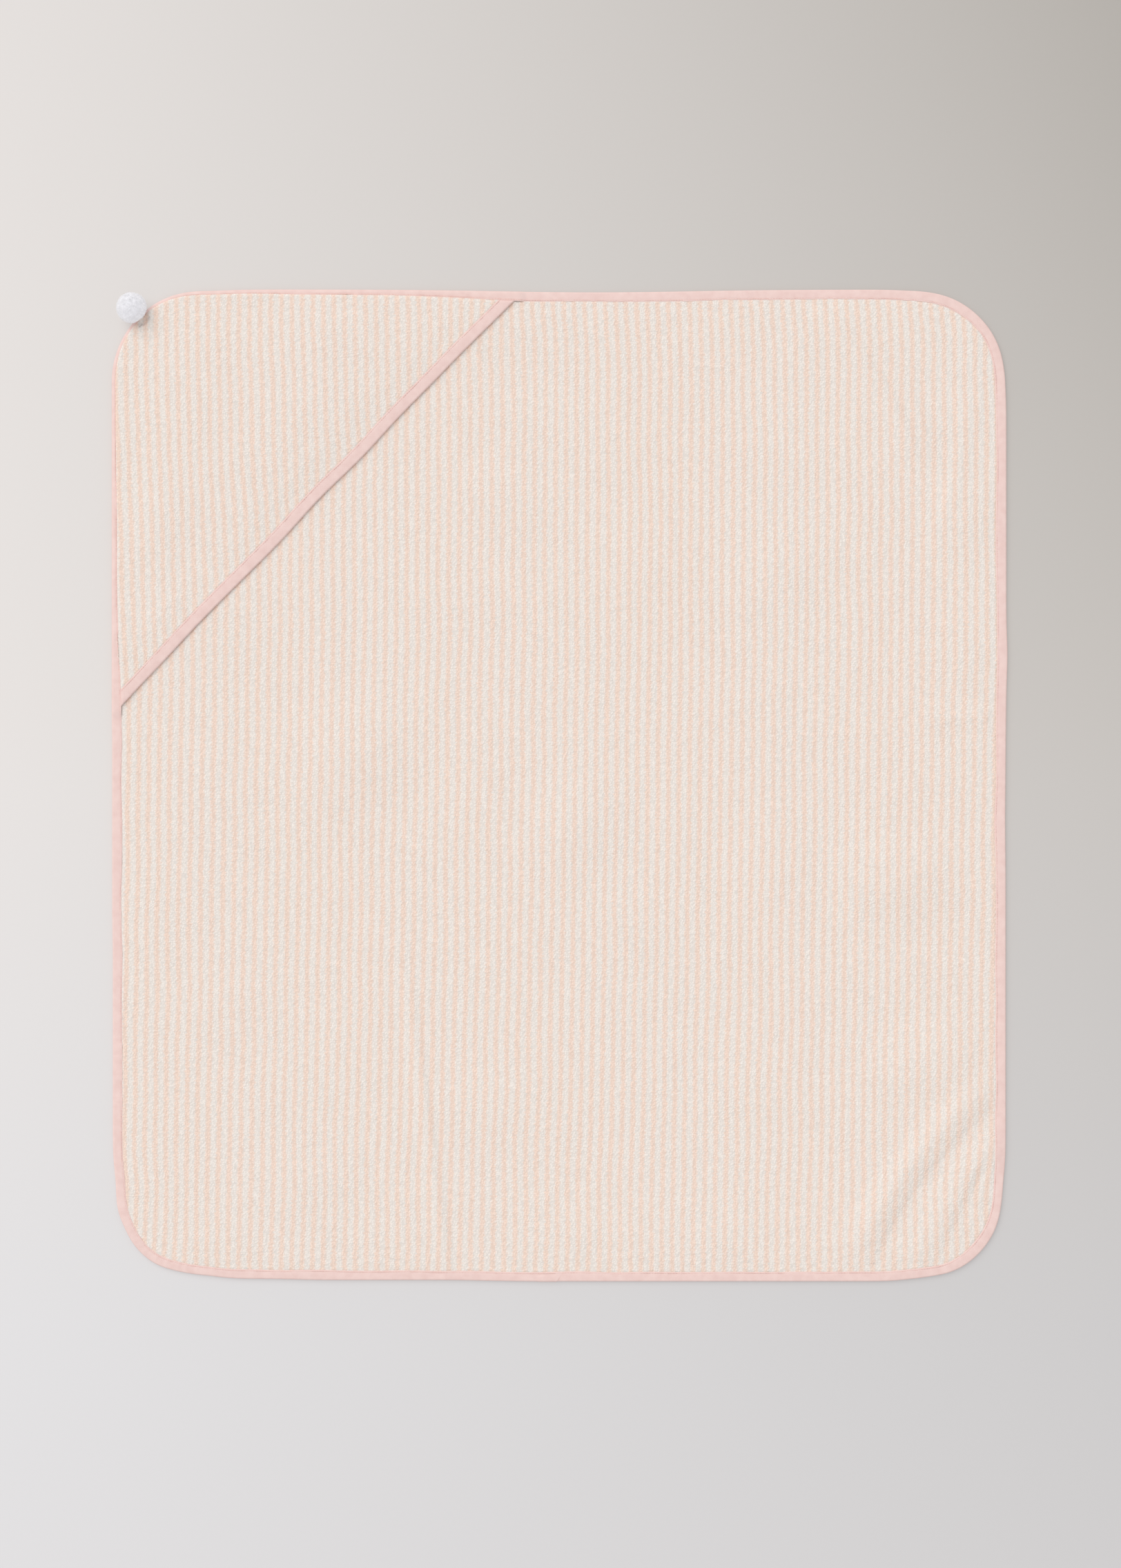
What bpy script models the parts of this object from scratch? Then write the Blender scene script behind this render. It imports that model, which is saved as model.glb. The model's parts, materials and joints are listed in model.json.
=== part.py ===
"""Hooded baby towel, lying flat and face up, in metres with +Z up.

The origin is on the table, under the middle of the towel. +Y points to the hooded end, and the
hood is sewn over the corner at -X, +Y. Two terry cloths, a bias tape round each raw edge, the
lockstitch threads that hold the tapes, and a yarn pompom tied to the tip of the hood.
"""

import math

import bmesh
import bpy
from mathutils import Matrix, Vector

MM = 0.001

# The cloth
WIDTH = 750 * MM  # X, over the tape
LENGTH = 830 * MM  # Y, over the tape
CORNER_RADIUS = 78 * MM  # of the outer edge
TERRY = 3.0 * MM  # one terry cloth, loop tip to loop tip
SEAM_TERRY = 1.2 * MM  # the same cloth pressed flat inside a tape

# The hood: its fold line crosses the outer edges at these distances from the square corner
HOOD_TOP_LEG = 346 * MM
HOOD_SIDE_LEG = 358 * MM

# Tapes and threads
TAPE = 0.5 * MM  # thickness of the folded tape
EDGE_TAPE_WIDTH = 8.0 * MM  # the tape round the towel, seen from above
HOOD_TAPE_WIDTH = 10.0 * MM  # the tape along the front of the hood
TAPE_RAMP = 12.0 * MM  # over which the tape drops from two cloths to one
STITCH_MARGIN = 1.2 * MM  # from the tape's inner edge to its row of stitches
THREAD = 0.4 * MM  # diameter

# The pompom
POMPOM_RADIUS = 12.5 * MM
POMPOM_OVERHANG = 8.9 * MM  # its centre beyond the tip of the corner
TIE_RADIUS = 0.7 * MM
KNOT_RADIUS = 1.4 * MM
KNOT_LENGTH = 2.4 * MM
TIE_REACH = 5.0 * MM  # how far the tie runs into the ball before its knot

# Clearances
GAP = 0.3 * MM  # between pieces that touch
THREAD_GAP = 0.15 * MM  # between a thread and its tape, and under the lowest thread
FLAP_GAP = 1.3 * MM  # between the tape round the towel and the hood's free part
SEAT_GAP = 0.5 * MM  # between the tape's fold and the ball that turns about it
FLOOR_GAP = 0.1 * MM  # under the pompom

# How the cloth swells from a seam to its full thickness
SWELL = 2.7 * MM

CORNER_STEPS = 12
FOLD_STEPS = 6
BALL_STEPS = 32
THREAD_SIDES_STEP = 1  # bevel resolution, six sides

COLOURS = {
    "terry": "ECDED3",
    "tape": "EDD2CA",
    "thread": "E6C3B8",
    "yarn": "EAE9EC",
}


# Levels above the table, from the bottom up
def tape_height(cloths):
    """Height of a folded tape round this many pressed cloths."""
    return 2 * TAPE + GAP + cloths * (SEAM_TERRY + GAP)


EDGE_TAPE_Z = THREAD + 2 * THREAD_GAP
BODY_SEAM_Z = EDGE_TAPE_Z + TAPE + GAP
ALLOWANCE_Z = BODY_SEAM_Z + SEAM_TERRY + GAP
HOOD_Z = TERRY + GAP
HOOD_TAPE_Z = TERRY + THREAD + 2 * THREAD_GAP
HOOD_SEAM_Z = HOOD_TAPE_Z + TAPE + GAP

# Insets from the outer edge
FOLD_RADIUS = tape_height(2) / 2  # the tape's fold where it holds two cloths
CLOTH_INSET = FOLD_RADIUS
HOOD_CLOTH_INSET = tape_height(1) / 2
FLAP_INSET = EDGE_TAPE_WIDTH + FLAP_GAP
STITCH_INSET = EDGE_TAPE_WIDTH - STITCH_MARGIN
HOOD_STITCH_INSET = HOOD_TAPE_WIDTH - STITCH_MARGIN

# The hood's fold line, from the top edge to the side edge, and its normal towards the corner
HOOD_TOP = Vector((-WIDTH / 2 + HOOD_TOP_LEG, LENGTH / 2))
HOOD_SIDE = Vector((-WIDTH / 2, LENGTH / 2 - HOOD_SIDE_LEG))
HOOD_LINE = (HOOD_SIDE - HOOD_TOP).normalized()
TO_CORNER = Vector((HOOD_LINE.y, -HOOD_LINE.x))
CORNER_CENTRE = Vector((-WIDTH / 2 + CORNER_RADIUS, LENGTH / 2 - CORNER_RADIUS))
DIAGONAL = Vector((-1, 1)).normalized()


def at_height(point, z):
    return Vector((point.x, point.y, z))


def clear_scene():
    for obj in list(bpy.data.objects):
        bpy.data.objects.remove(obj)


def linear(channel):
    """One sRGB channel from 0 to 1 as linear light."""
    return channel / 12.92 if channel <= 0.04045 else ((channel + 0.055) / 1.055) ** 2.4


def finish(name, roughness):
    """Matt cloth or thread in one of COLOURS."""
    material = bpy.data.materials.new(name)
    material.use_nodes = True
    shader = material.node_tree.nodes["Principled BSDF"]
    code = COLOURS[name]
    channels = [linear(int(code[i : i + 2], 16) / 255) for i in (0, 2, 4)]
    shader.inputs["Base Color"].default_value = (*channels, 1)
    shader.inputs["Roughness"].default_value = roughness
    shader.inputs["Metallic"].default_value = 0
    return material


# The outline


def corner_stations(side_x, side_y, first_angle, cloths):
    """(point, inward normal, cloths in the tape) round one corner of the outer edge."""
    centre = Vector((side_x * (WIDTH / 2 - CORNER_RADIUS), side_y * (LENGTH / 2 - CORNER_RADIUS)))
    for step in range(CORNER_STEPS + 1):
        angle = math.radians(first_angle + 90 * step / CORNER_STEPS)
        outward = Vector((math.cos(angle), math.sin(angle)))
        yield centre + CORNER_RADIUS * outward, -outward, cloths


def edge_stations():
    """The whole outer edge, anticlockwise from above. The tape holds two cloths round the hood."""
    down, right = Vector((0, -1)), Vector((1, 0))
    return [
        *corner_stations(1, 1, 0, 1),
        (Vector((HOOD_TOP.x + TAPE_RAMP, LENGTH / 2)), down, 1),
        (HOOD_TOP, down, 2),
        *corner_stations(-1, 1, 90, 2),
        (HOOD_SIDE, right, 2),
        (Vector((-WIDTH / 2, HOOD_SIDE.y - TAPE_RAMP)), right, 1),
        *corner_stations(-1, -1, 180, 1),
        *corner_stations(1, -1, 270, 1),
    ]


def edge_loop(inset, z):
    return [at_height(point + inset * inward, z) for point, inward, _ in edge_stations()]


def hood_loop(leg_inset, front_inset, z):
    """Round the hood's corner, from the fold line at the top edge to the fold line at the side."""
    along_fold = front_inset - leg_inset * Vector((0, -1)).dot(TO_CORNER)
    top = Vector((HOOD_TOP.x + along_fold / TO_CORNER.x, LENGTH / 2 - leg_inset))
    along_fold = front_inset - leg_inset * TO_CORNER.x
    side = Vector((-WIDTH / 2 + leg_inset, HOOD_SIDE.y + along_fold / TO_CORNER.y))
    arc = [point + leg_inset * inward for point, inward, _ in corner_stations(-1, 1, 90, 2)]
    return [at_height(point, z) for point in (top, *arc, side)]


# Meshes


def skin(name, loops, material, closed_profile=False, closed_path=True):
    """A solid whose loops[i][j] is corner i of the profile at station j, with n-gon caps."""
    shell = bmesh.new()
    grid = [[shell.verts.new(point) for point in loop] for loop in loops]
    profiles, stations = len(grid), len(grid[0])
    for i in range(profiles if closed_profile else profiles - 1):
        for j in range(stations if closed_path else stations - 1):
            row, next_row, k = grid[i], grid[(i + 1) % profiles], (j + 1) % stations
            shell.faces.new((row[j], row[k], next_row[k], next_row[j]))
    if not closed_profile:
        shell.faces.new(grid[0])
        shell.faces.new(grid[-1])
    if not closed_path:
        shell.faces.new([row[0] for row in grid])
        shell.faces.new([row[-1] for row in grid])
    bmesh.ops.recalc_face_normals(shell, faces=shell.faces)
    mesh = bpy.data.meshes.new(name)
    shell.to_mesh(mesh)
    shell.free()
    return new_object(name, mesh, material)


def new_object(name, data, material):
    data.materials.append(material)
    obj = bpy.data.objects.new(name, data)
    bpy.context.collection.objects.link(obj)
    return obj


def folded_tape(width, z, height):
    """(inset, z) round a C-shaped tape: out over the top, round the fold, in under the cloth."""
    radius = height / 2
    turns = [math.radians(90 + 180 * step / FOLD_STEPS) for step in range(FOLD_STEPS + 1)]

    def fold(r):
        return [(radius + r * math.cos(turn), z + radius + r * math.sin(turn)) for turn in turns]

    outside = [(width, z + height), *fold(radius), (width, z)]
    inside = [(width, z + TAPE), *reversed(fold(radius - TAPE)), (width, z + height - TAPE)]
    return outside + inside


def thread(name, points, cyclic, material):
    """A thread as a round curve through these points."""
    curve = bpy.data.curves.new(name, "CURVE")
    curve.dimensions = "3D"
    curve.bevel_depth = THREAD / 2
    curve.bevel_resolution = THREAD_SIDES_STEP
    curve.use_fill_caps = True
    spline = curve.splines.new("POLY")
    spline.points.add(len(points) - 1)
    for target, point in zip(spline.points, points):
        target.co = (*point, 1)
    spline.use_cyclic_u = cyclic
    return new_object(name, curve, material)


def turned(name, profile, material):
    """A solid of revolution about local Z. The profile's (radius, z) runs down its outer side."""
    mesh = bpy.data.meshes.new(name)
    edges = [(i, i + 1) for i in range(len(profile) - 1)]
    mesh.from_pydata([(radius, 0, z) for radius, z in profile], edges, [])
    obj = new_object(name, mesh, material)
    screw = obj.modifiers.new("turn", "SCREW")
    screw.axis = "Z"
    screw.steps = screw.render_steps = BALL_STEPS
    screw.use_merge_vertices = True
    screw.merge_threshold = 0.01 * MM
    screw.use_smooth_shade = True
    return obj


# Pieces


def body_panel(terry):
    """One terry cloth the size of the towel, pressed thin where the tape holds its rim."""
    top = BODY_SEAM_Z + SEAM_TERRY
    levels = [
        (FLAP_INSET + SWELL, 0),
        (FLAP_INSET, BODY_SEAM_Z),
        (CLOTH_INSET, BODY_SEAM_Z),
        (CLOTH_INSET, top),
        (FLAP_INSET, top),
        (FLAP_INSET + SWELL, TERRY),
    ]
    return skin("body_panel", [edge_loop(inset, z) for inset, z in levels], terry)


def hood_panel(terry):
    """The hood's free part, from the stitches on its two legs to its front edge."""
    pressed, full = HOOD_TAPE_WIDTH + GAP, HOOD_TAPE_WIDTH + GAP + SWELL
    rim = FLAP_INSET + GAP
    top = HOOD_SEAM_Z + SEAM_TERRY
    levels = [
        (FLAP_INSET + SWELL, full, HOOD_Z),
        (rim, pressed, HOOD_SEAM_Z),
        (FLAP_INSET, HOOD_CLOTH_INSET, HOOD_SEAM_Z),
        (FLAP_INSET, HOOD_CLOTH_INSET, top),
        (rim, pressed, top),
        (FLAP_INSET + SWELL, full, HOOD_Z + TERRY),
    ]
    return skin("hood_panel", [hood_loop(*level) for level in levels], terry)


def hood_seam_allowance(terry):
    """The hood's rim beyond its stitches, pressed into the tape on top of the body cloth."""
    inner, top = FLAP_INSET - GAP, ALLOWANCE_Z + SEAM_TERRY
    corners = [
        (inner, ALLOWANCE_Z),
        (CLOTH_INSET, ALLOWANCE_Z),
        (CLOTH_INSET, top),
        (EDGE_TAPE_WIDTH, top),
        (inner, top),
    ]
    loops = [hood_loop(inset, HOOD_CLOTH_INSET, z) for inset, z in corners]
    return skin("hood_seam_allowance", loops, terry, closed_profile=True, closed_path=False)


def edge_binding(tape):
    """The tape folded over the raw edge all round, higher where it also holds the hood."""
    stations = edge_stations()
    profiles = {n: folded_tape(EDGE_TAPE_WIDTH, EDGE_TAPE_Z, tape_height(n)) for n in (1, 2)}
    loops = []
    for corner in range(len(profiles[1])):
        loop = []
        for point, inward, cloths in stations:
            inset, z = profiles[cloths][corner]
            loop.append(at_height(point + inset * inward, z))
        loops.append(loop)
    return skin("edge_binding", loops, tape, closed_profile=True)


def hood_edge_binding(tape):
    """The tape folded over the hood's front edge, between the two legs."""
    loops = []
    for inset, z in folded_tape(HOOD_TAPE_WIDTH, HOOD_TAPE_Z, tape_height(1)):
        ends = hood_loop(FLAP_INSET, inset, z)
        loops.append([ends[0], ends[-1]])
    return skin("hood_edge_binding", loops, tape, closed_profile=True, closed_path=False)


def edge_threads(cotton):
    """The needle thread on top of the tape and the bobbin thread under it."""
    lift = THREAD_GAP + THREAD / 2
    over, under = [], []
    for point, inward, cloths in edge_stations():
        spot = point + STITCH_INSET * inward
        over.append(at_height(spot, EDGE_TAPE_Z + tape_height(cloths) + lift))
        under.append(at_height(spot, EDGE_TAPE_Z - lift))
    thread("edge_needle_thread", over, True, cotton)
    thread("edge_bobbin_thread", under, True, cotton)


def hood_threads(cotton):
    """The same two threads along the hood's front edge."""
    lift = THREAD_GAP + THREAD / 2
    levels = {
        "hood_needle_thread": HOOD_TAPE_Z + tape_height(1) + lift,
        "hood_bobbin_thread": HOOD_TAPE_Z - lift,
    }
    made = []
    for name, z in levels.items():
        ends = hood_loop(FLAP_INSET + THREAD, HOOD_STITCH_INSET, z)
        made.append(thread(name, [ends[0], ends[-1]], False, cotton))
    return made


def pompom(yarn, reach):
    """The ball, flat where it seats against the corner, with a bore and a pocket for its tie."""
    seat, bore = FOLD_RADIUS + SEAT_GAP, TIE_RADIUS + GAP
    pocket, shoulder = KNOT_RADIUS + GAP, seat + TIE_REACH
    cut = math.sqrt(POMPOM_RADIUS**2 - (reach - seat) ** 2)
    last = math.atan2(cut, seat - reach)
    steps = BALL_STEPS // 2
    turns = [last * step / steps for step in range(steps + 1)]
    ball = [(POMPOM_RADIUS * math.sin(t), reach + POMPOM_RADIUS * math.cos(t)) for t in turns]
    mouth = [
        (bore, seat),
        (bore, shoulder),
        (pocket, shoulder),
        (pocket, shoulder + KNOT_LENGTH + 2 * GAP),
        (0, shoulder + KNOT_LENGTH + 2 * GAP),
    ]
    return turned("pompom", ball + mouth, yarn)


def pompom_tie(cotton):
    """The thread that ties the ball on, from the tape's fold to its knot inside the ball."""
    seat = FOLD_RADIUS + SEAT_GAP
    knot = seat + TIE_REACH + GAP
    profile = [
        (0, knot + KNOT_LENGTH),
        (KNOT_RADIUS, knot + KNOT_LENGTH),
        (KNOT_RADIUS, knot),
        (TIE_RADIUS, knot),
        (TIE_RADIUS, FOLD_RADIUS + GAP),
        (0, FOLD_RADIUS + GAP),
    ]
    return turned("pompom_tie", profile, cotton)


# Joints


def pivot(name, place, x_axis, z_axis):
    """An empty on a joint, with its own X and Z along these directions."""
    y_axis = z_axis.cross(x_axis)
    turn = Matrix((x_axis, y_axis, z_axis)).transposed().to_4x4()
    empty = bpy.data.objects.new(name, None)
    empty.matrix_world = Matrix.Translation(place) @ turn
    bpy.context.collection.objects.link(empty)
    return empty


def hood_hinge():
    """Parallel to the hood's front edge, through the tip of its free part, under the cloth."""
    tip = CORNER_CENTRE + (CORNER_RADIUS - FLAP_INSET) * TO_CORNER
    return pivot("hood_hinge", at_height(tip, HOOD_Z), at_height(HOOD_LINE, 0), Vector((0, 0, 1)))


def pompom_pivot():
    """In the tape's fold at the tip of the corner. Z points to the ball's centre, X is the tilt."""
    tip = CORNER_CENTRE + CORNER_RADIUS * DIAGONAL
    place = at_height(tip - FOLD_RADIUS * DIAGONAL, EDGE_TAPE_Z + FOLD_RADIUS)
    centre = at_height(tip + POMPOM_OVERHANG * DIAGONAL, POMPOM_RADIUS + FLOOR_GAP)
    tilt_axis = at_height(Vector((1, 1)).normalized(), 0)
    reach = (centre - place).length
    return pivot("pompom_pivot", place, tilt_axis, (centre - place).normalized()), reach


def keep_in_place(obj, parent):
    """Parents a piece that is already where it belongs."""
    obj.parent = parent
    obj.matrix_parent_inverse = parent.matrix_world.inverted()


def main():
    clear_scene()
    terry, tape = finish("terry", 0.95), finish("tape", 0.8)
    cotton, yarn = finish("thread", 0.6), finish("yarn", 0.95)

    body_panel(terry)
    hood_seam_allowance(terry)
    edge_binding(tape)
    edge_threads(cotton)

    hinge = hood_hinge()
    bpy.context.view_layer.update()
    for piece in (hood_panel(terry), hood_edge_binding(tape), *hood_threads(cotton)):
        keep_in_place(piece, hinge)

    ball_pivot, reach = pompom_pivot()
    for piece in (pompom(yarn, reach), pompom_tie(cotton)):
        piece.parent = ball_pivot


main()
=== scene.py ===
"""The looks of a hooded baby towel, lying flat and face up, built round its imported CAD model.

Two cuts of striped cotton terry, a bias tape folded over each raw edge, the lockstitch threads
that hold the tapes, and a yarn pompom at the tip of the hood. Shapes are worked out in
millimetres as whole numpy arrays, and turned to metres when their mesh is made.
"""

import json
import math

import bpy
import numpy as np
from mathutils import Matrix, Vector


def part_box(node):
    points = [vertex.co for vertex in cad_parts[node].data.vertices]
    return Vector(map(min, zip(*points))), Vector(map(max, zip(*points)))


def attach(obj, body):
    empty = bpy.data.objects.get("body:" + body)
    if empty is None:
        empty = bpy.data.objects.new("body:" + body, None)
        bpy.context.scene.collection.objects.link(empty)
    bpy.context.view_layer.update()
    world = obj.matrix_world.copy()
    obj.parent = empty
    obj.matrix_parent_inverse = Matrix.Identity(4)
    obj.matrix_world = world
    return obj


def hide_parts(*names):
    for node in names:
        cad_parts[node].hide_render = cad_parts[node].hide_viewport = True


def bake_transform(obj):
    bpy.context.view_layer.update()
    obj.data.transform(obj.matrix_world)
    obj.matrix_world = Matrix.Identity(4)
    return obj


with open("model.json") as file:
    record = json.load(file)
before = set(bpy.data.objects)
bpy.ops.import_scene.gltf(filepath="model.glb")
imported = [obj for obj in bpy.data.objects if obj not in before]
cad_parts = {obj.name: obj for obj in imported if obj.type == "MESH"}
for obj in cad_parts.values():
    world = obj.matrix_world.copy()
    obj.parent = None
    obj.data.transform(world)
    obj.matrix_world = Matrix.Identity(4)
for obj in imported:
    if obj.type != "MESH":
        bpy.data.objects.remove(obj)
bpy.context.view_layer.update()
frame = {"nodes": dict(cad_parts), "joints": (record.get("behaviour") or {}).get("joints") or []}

MM = 0.001

# The outline, over the tape
HALF_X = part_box("edge_binding")[1].x / MM
HALF_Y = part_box("edge_binding")[1].y / MM
CORNER = 78.0  # corner radius of the outer edge
CORE_X = HALF_X - CORNER  # the outline is everywhere CORNER away from this inner rectangle
CORE_Y = HALF_Y - CORNER

# The cloth, as levels above the table
TERRY = 3.0  # one cloth, from loop tip to loop tip
PRESSED_LOW = 1.5  # the body cloth's rim inside the tape
PRESSED_TOP = 2.7
HOOD_LOW = 3.3
HOOD_PRESSED_LOW = 4.5  # the hood cloth inside the tape of its front edge
HOOD_PRESSED_TOP = 5.7
PILE = 0.8  # how far the free pile swells beyond the cloth as it is under the hood
RIM = 2.15  # inset of the body cloth's raw edge
HOOD_RIM = 1.7  # inset of the hood cloth's raw edge under the tape
CELL = 3.0  # spacing of the cloth's points

# The tapes
TAPE = 0.5  # thickness
TAPE_LOW = 0.7  # underside of the tape round the towel
FULL_WIDTH = 8.2  # how wide it shows, before it narrows or widens
ONE_CLOTH = 2.8  # height of a tape folded round one cloth
TWO_CLOTHS = 4.3  # and round two
UNDER_WIDTH = 8.0  # of the tape's hidden half
HOOD_TAPE_LOW = 3.7
HOOD_TAPE_WIDTH = 10.0
STITCH_MARGIN = 1.2  # from the tape's inner edge to its row of stitches
STITCH = 2.2  # length of one stitch
NEEDLE_THREAD = 0.22  # radius of the sewing thread on top
BOBBIN_THREAD = 0.18  # and of the one underneath
TAPE_STEP = 1.6  # spacing of the tapes' points along their length
JOIN_X = -6.5  # where the tape's two ends lap over each other, on the bottom edge
LAP = 7.0  # how far each end runs past the join

# The hood's front edge, from the top edge of the towel to its left edge
FRONT_TOP = np.array([-HALF_X + 346.0, HALF_Y])
FRONT_SIDE = np.array([-HALF_X, HALF_Y - 358.0])
FRONT_RUN = np.linalg.norm(FRONT_SIDE - FRONT_TOP)
ALONG = (FRONT_SIDE - FRONT_TOP) / FRONT_RUN
TO_TIP = np.array([ALONG[1], -ALONG[0]])
DIAGONAL = np.array([-1.0, 1.0]) / math.sqrt(2)
TIP = np.array([-CORE_X, CORE_Y]) + CORNER * DIAGONAL
HALVES_SUM = TIP.sum()  # the hood's two halves meet where x + y is this

# The hood's free part starts this far in from the two legs, and bends over this distance
FREE_INSET = 9.3
BEND = 166.7

# The stripes
STRIPE = 8.81  # from one pink stripe to the next
PINK_SHARE = 0.45

# The share of the paper's brightness that is a painted glow, standing in for lamps under the table
PAINTED_GLOW = 0.5

# The pompom
TWIST = next(joint for joint in frame["joints"] if joint["name"] == "pompom_twist")
KNOT = np.array(TWIST["pos_m"]) / MM  # where its tie goes through the tip of the hood
BALL = 12.5  # radius
FUZZ = 0.7  # the longest fibres stand this far out of the ball
SEAT = 2.65  # from the tie's pivot to the ball's flat seat
TUFTS = 900
FIBRES = 11  # in each tuft


# Numbers and fields


def smooth(t):
    """0 below 0, 1 above 1, and a smooth step between."""
    t = np.clip(t, 0.0, 1.0)
    return t * t * (3.0 - 2.0 * t)


def bell(x, centre, width):
    """A bell curve of height 1."""
    return np.exp(-(((x - centre) / width) ** 2))


def waves(x, y, shortest, longest, seed, count=48):
    """Plane waves in random directions, of lengths between the two given, added up and scaled
    to an average size of 1."""
    rng = np.random.default_rng(seed)
    lengths = rng.uniform(shortest, longest, count)
    turns = rng.uniform(0.0, 2.0 * math.pi, count)
    starts = rng.uniform(0.0, 2.0 * math.pi, count)
    total = np.zeros(np.broadcast(x, y).shape)
    for length, turn, start in zip(lengths, turns, starts):
        across = x * math.cos(turn) + y * math.sin(turn)
        total += np.cos(2.0 * math.pi * across / length + start)
    return total * math.sqrt(2.0 / count)


def inset_of(x, y):
    """Distance in from the outer edge: the corner radius less the distance to the core."""
    over_x = np.abs(x) - CORE_X
    over_y = np.abs(y) - CORE_Y
    outside = np.hypot(np.maximum(over_x, 0.0), np.maximum(over_y, 0.0))
    inside = np.minimum(np.maximum(over_x, over_y), 0.0)
    return CORNER - outside - inside


def front_inset_of(x, y):
    """Distance from the hood's front edge, positive on the hood's side."""
    return (x - FRONT_TOP[0]) * TO_TIP[0] + (y - FRONT_TOP[1]) * TO_TIP[1]


def along_leg_of(x, y):
    """How far round the outer edge a place is from the nearer end of the hood's front edge:
    positive round the hood, negative on the rest of the towel."""
    return np.minimum(FRONT_TOP[0] - x, y - FRONT_SIDE[1])


def tape_width_of(x, y):
    """How wide the tape shows: about 8 mm, a little more on the right, narrowing in three
    smooth steps towards the tip of the hood, where it rolls under, and slightly uneven."""
    q = along_leg_of(x, y)
    narrowing = 3.3 * smooth(q / 120.0) + 1.5 * smooth((q - 150.0) / 110.0)
    narrowing = narrowing + 0.9 * smooth((q - 268.0) / 50.0)
    uneven = 0.28 * (1.0 - 0.8 * smooth(q / 120.0)) * waves(x, y, 45.0, 140.0, seed=3)
    return FULL_WIDTH + 0.6 * smooth((x - 200) / 100) - narrowing + uneven


# How the towel lies


def ridge(x, y, start, end, bow, height, width):
    """A soft fold along a line bowed sideways: a bell across it, dying out at both ends."""
    start, end = np.array(start), np.array(end)
    run = end - start
    length = np.linalg.norm(run)
    t = ((x - start[0]) * run[0] + (y - start[1]) * run[1]) / length**2
    across = ((x - start[0]) * run[1] - (y - start[1]) * run[0]) / length
    across = across - bow * (1.0 - (2.0 * t - 1.0) ** 2)
    fade = smooth(t / 0.3 + 0.35) * smooth((1.0 - t) / 0.3 + 0.35)
    return height * np.exp(-((across / width) ** 2)) * fade


# Each a start and an end, how far the line bows, and the height and width of the fold. A groove
# has a height below 0, and lies in the ridge before it.
RIDGES = (
    # Pulls at the lower right corner
    ((362, -250), (252, -384), 8.0, 3.0, 13.0),
    ((378, -292), (298, -402), 6.0, 1.9, 13.0),
    ((376, -266), (268, -398), 9.0, -2.5, 3.8),
    ((360, -314), (322, -392), -3.0, -1.5, 3.6),
    # A crease at the upper right corner
    ((222, 400), (304, 280), -9.0, 2.6, 14.0),
    ((222, 400), (304, 280), -9.0, -2.4, 3.4),
    # A straight crease at the lower left
    ((-128, -150), (-88, -440), 0.0, 1.1, 8.0),
    ((-121, -150), (-81, -440), 0.0, -0.8, 3.6),
    # Two shallow ones on the right
    ((345, 330), (318, 210), -4.0, 1.0, 9.0),
    ((365, 60), (300, 52), 0.0, 0.9, 8.0),
)


def lift(x, y):
    """How far the cloth stands off the table: slow rolls, and the ridges and grooves. It never
    sinks by more than a tenth of a millimetre."""
    rolls = 0.32 * waves(x, y, 120.0, 280.0, seed=11) ** 2
    pulls = 0.0
    for start, end, bow, height, width in RIDGES:
        pulls = pulls + ridge(x, y, start, end, bow, height, width)
    edge = smooth(inset_of(x, y) / 45.0)
    raised = rolls * edge + pulls * smooth((inset_of(x, y) + 4.0) / 18.0)
    return np.maximum(raised, -0.1)


def lay(points):
    """Puts cut cloth down as it really lies: each side is drawn in or out by a millimetre or
    so, dying away 90 mm into the cloth, and the whole is raised by lift()."""
    x, y, z = points[..., 0], points[..., 1], points[..., 2]
    top = 0.6 + 2.3 * bell(x, 30, 115) + 1.3 * bell(x, -300, 28) + 1.2 * bell(x, 305, 22)
    bottom = -1.3 + 1.1 * smooth((-20 - x) / 80) + 1.0 * smooth((-190 - x) / 60)
    bottom = bottom + 3.4 * bell(x, -305, 24) + 2.8 * bell(x, 308, 22) + 0.9 * bell(x, -324, 14)
    left = 1.1 + 0.3 * smooth((60 - y) / 30) + 0.5 * smooth((-100 - y) / 50)
    left = left + 2.6 * bell(y, -340, 22) + 1.4 * bell(y, -372, 14)
    right = -0.3 + 0.55 * smooth((90 - y) / 80) - 0.9 * bell(y, 108, 22)
    right = right + 0.4 * bell(y, -30, 30) + 2.6 * bell(y, -345, 24) + 1.2 * bell(y, 348, 22)
    moved_x = x + left * (1 - smooth((HALF_X + x) / 90)) - right * (1 - smooth((HALF_X - x) / 90))
    moved_y = y + bottom * (1 - smooth((HALF_Y + y) / 90)) - top * (1 - smooth((HALF_Y - y) / 90))
    return np.stack([moved_x, moved_y, z + lift(x, y)], axis=-1)


def lay_hood(points):
    """The hood's parts: pressed under the tape along the two legs and drawn down round the
    pompom's knot, its front edge a little uneven, raised by the air under it, and then laid as
    the rest is."""
    x, y, z = points[..., 0], points[..., 1], points[..., 2]
    inset = inset_of(x, y)
    front = front_inset_of(x, y)
    free = smooth((inset - tape_width_of(x, y) + 0.9) / 2.4)
    free = free * smooth((np.hypot(x - KNOT[0], y - KNOT[1]) - 5.0) / 3.0)
    pressed = 0.3 + 0.7 * free
    air = 1.1 * smooth((inset - 12.0) / 50.0) * smooth(front / 60.0)
    z = TERRY + (z - TERRY) * pressed + air
    along = (x - FRONT_TOP[0]) * ALONG[0] + (y - FRONT_TOP[1]) * ALONG[1]
    uneven = 0.45 * waves(along, 0.0 * along, 70.0, 170.0, seed=19, count=8)
    uneven = uneven * (1.0 - smooth(front / 60.0)) * smooth((inset - 9.0) / 30.0)
    moved = np.stack([x + uneven * TO_TIP[0], y + uneven * TO_TIP[1], z], axis=-1)
    return lay(moved)


# Meshes


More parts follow.
